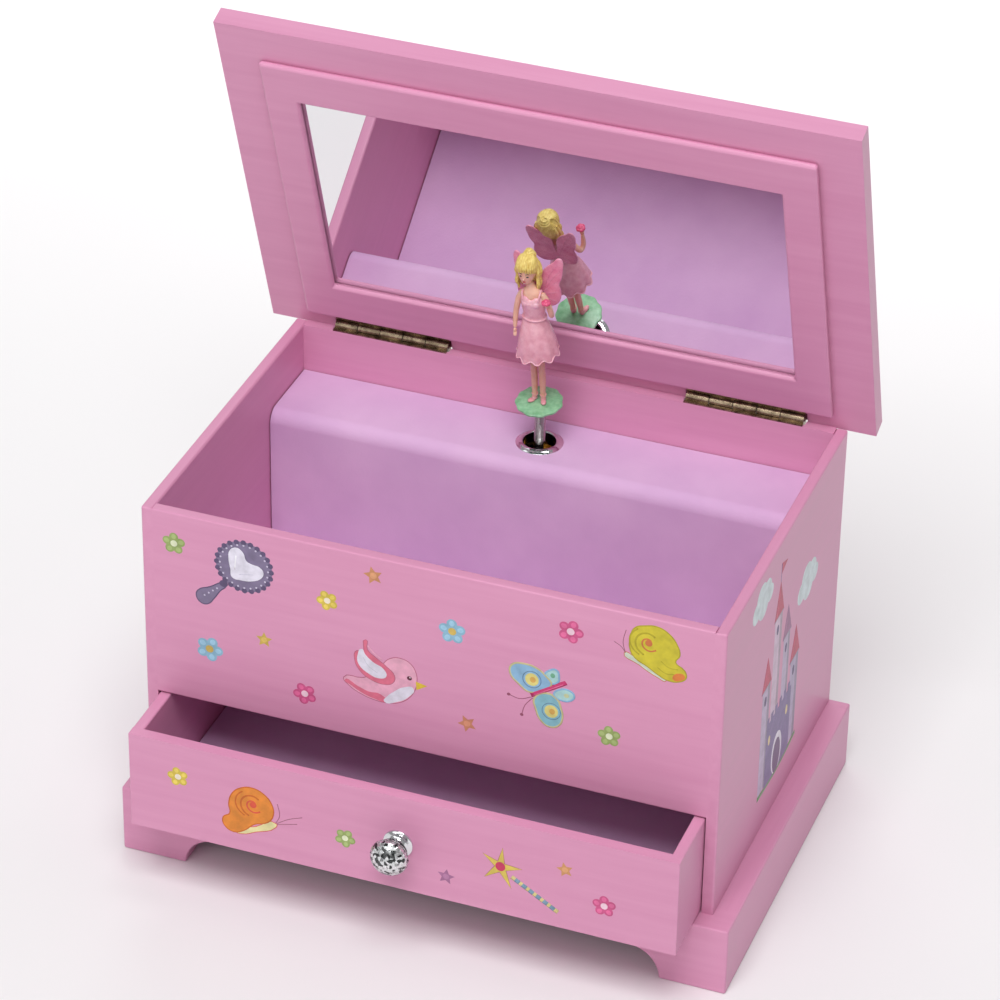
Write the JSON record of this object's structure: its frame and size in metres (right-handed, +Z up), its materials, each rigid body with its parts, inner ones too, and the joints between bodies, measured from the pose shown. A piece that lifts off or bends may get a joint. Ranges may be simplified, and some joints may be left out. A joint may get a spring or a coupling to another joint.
{
  "type": "ballerina jewellery box",
  "caption": "Pink wooden jewellery box on a footed plinth, with a mirrored hinged lid, a lined tray, a drawer with a crystal knob and a key-wound movement that turns a small dancer.",
  "frame": {"origin": "centre of the whole box at rest, on the surface it stands on", "axes": "+Z up, -Y out of the front through the drawer, +X to the right as seen from the front"},
  "size_m": [0.219, 0.185, 0.2705],
  "materials": {
    "painted_pink": "satin pink paint over wood",
    "lilac_lining": "short lilac flock",
    "chrome_trim": "polished",
    "mirror_glass": "silvered glass",
    "antique_brass": "dark antique",
    "clear_crystal": "clear faceted",
    "bright_steel": "nickel plated",
    "blue_spring_steel": "blued",
    "movement_brass": "polished",
    "mint_plastic": "pearly mint green",
    "dancer_plastic": "pearly pink, with painted skin and hair",
    "wing_plastic": "pearly pink"
  },
  "bodies": {
    "case": {"front_panel": "painted_pink", "back_panel": "painted_pink", "left_side_panel": "painted_pink", "right_side_panel": "painted_pink", "compartment_floor": "painted_pink", "base_board": "painted_pink", "plinth_front_rail": "painted_pink", "plinth_left_rail": "painted_pink", "plinth_right_rail": "painted_pink", "plinth_back_rail": "painted_pink", "tray_lining": "lilac_lining", "music_deck": "lilac_lining", "grommet": "chrome_trim", "left_hinge_case_leaf": "antique_brass", "right_hinge_case_leaf": "antique_brass", "left_hinge_pin": "antique_brass", "right_hinge_pin": "antique_brass", "case_hinge_screws": "antique_brass", "movement_bedplate": "movement_brass", "movement_spacers": "bright_steel", "movement_screws": "bright_steel", "movement_front_plate": "movement_brass", "spring_housing": "bright_steel", "mainspring": "blue_spring_steel", "comb": "bright_steel", "comb_block": "movement_brass", "comb_screws": "bright_steel", "governor_frame": "movement_brass", "spindle_bracket": "movement_brass", "coil_spring": "bright_steel"},
    "lid": {"lid_board": "painted_pink", "mirror_frame": "painted_pink", "mirror": "mirror_glass", "left_hinge_lid_leaf": "antique_brass", "right_hinge_lid_leaf": "antique_brass", "lid_hinge_screws": "antique_brass"},
    "drawer": {"drawer_front": "painted_pink", "drawer_left_side": "painted_pink", "drawer_right_side": "painted_pink", "drawer_back": "painted_pink", "drawer_bottom": "painted_pink", "drawer_lining": "lilac_lining", "knob_crystal": "clear_crystal", "knob_collar": "chrome_trim", "knob_screw": "bright_steel"},
    "winding": {"winding_key": "movement_brass", "winding_arbor": "bright_steel", "drive_gear": "movement_brass"},
    "cylinder": {"melody_cylinder": "movement_brass", "cylinder_gear": "movement_brass", "crown_wheel": "movement_brass"},
    "governor": {"governor_wheel": "movement_brass"},
    "fan": {"governor_fan": "bright_steel"},
    "spindle": {"spindle": "bright_steel", "spindle_gear": "movement_brass"},
    "figure_mount": {"spring_socket": "bright_steel"},
    "dancer": {"dancer_stand": "mint_plastic", "dancer_body": "dancer_plastic", "dancer_wings": "wing_plastic"}
  },
  "joints": [
    {"name": "lid_hinge", "type": "hinge", "parent": "case", "child": "lid", "pos_m": [0, 0.0765, 0.13633], "axis": [1, 0, 0], "range_deg": [0, 71.2]},
    {"name": "drawer_slide", "type": "slide", "parent": "case", "child": "drawer", "axis": [0, -1, 0], "range_m": [-0.025, 0.045]},
    {"name": "winding_spin", "type": "hinge", "parent": "case", "child": "winding", "pos_m": [-0.0244, 0.0765, 0.088], "axis": [0, 1, 0], "continuous": true},
    {"name": "cylinder_spin", "type": "hinge", "parent": "case", "child": "cylinder", "pos_m": [-0.0028, 0.0575, 0.088], "axis": [0, 1, 0], "continuous": true},
    {"name": "governor_spin", "type": "hinge", "parent": "case", "child": "governor", "pos_m": [0.00337, 0.0575, 0.08065], "axis": [0, 1, 0], "continuous": true},
    {"name": "fan_spin", "type": "hinge", "parent": "case", "child": "fan", "pos_m": [0.00787, 0.056, 0.08065], "axis": [0, 0, 1], "continuous": true},
    {"name": "spindle_spin", "type": "hinge", "parent": "case", "child": "spindle", "pos_m": [-0.0028, 0.0575, 0.088], "axis": [0, 0, 1], "continuous": true},
    {"name": "figure_fold", "type": "hinge", "parent": "case", "child": "figure_mount", "pos_m": [-0.0028, 0.0575, 0.1268], "axis": [1, 0, 0], "range_deg": [0, 81], "deforming": ["coil_spring"]},
    {"name": "dancer_spin", "type": "hinge", "parent": "figure_mount", "child": "dancer", "pos_m": [-0.0028, 0.0575, 0.1268], "axis": [0, -0.1564, 0.9877], "continuous": true}
  ],
  "couplings": [
    {"joint": "figure_fold", "follows": "lid_hinge", "ratio": 1.1376},
    {"joint": "cylinder_spin", "follows": "winding_spin", "ratio": -2},
    {"joint": "spindle_spin", "follows": "winding_spin", "ratio": -3},
    {"joint": "dancer_spin", "follows": "winding_spin", "ratio": -3},
    {"joint": "governor_spin", "follows": "winding_spin", "ratio": 6},
    {"joint": "fan_spin", "follows": "winding_spin", "ratio": 60}
  ]
}
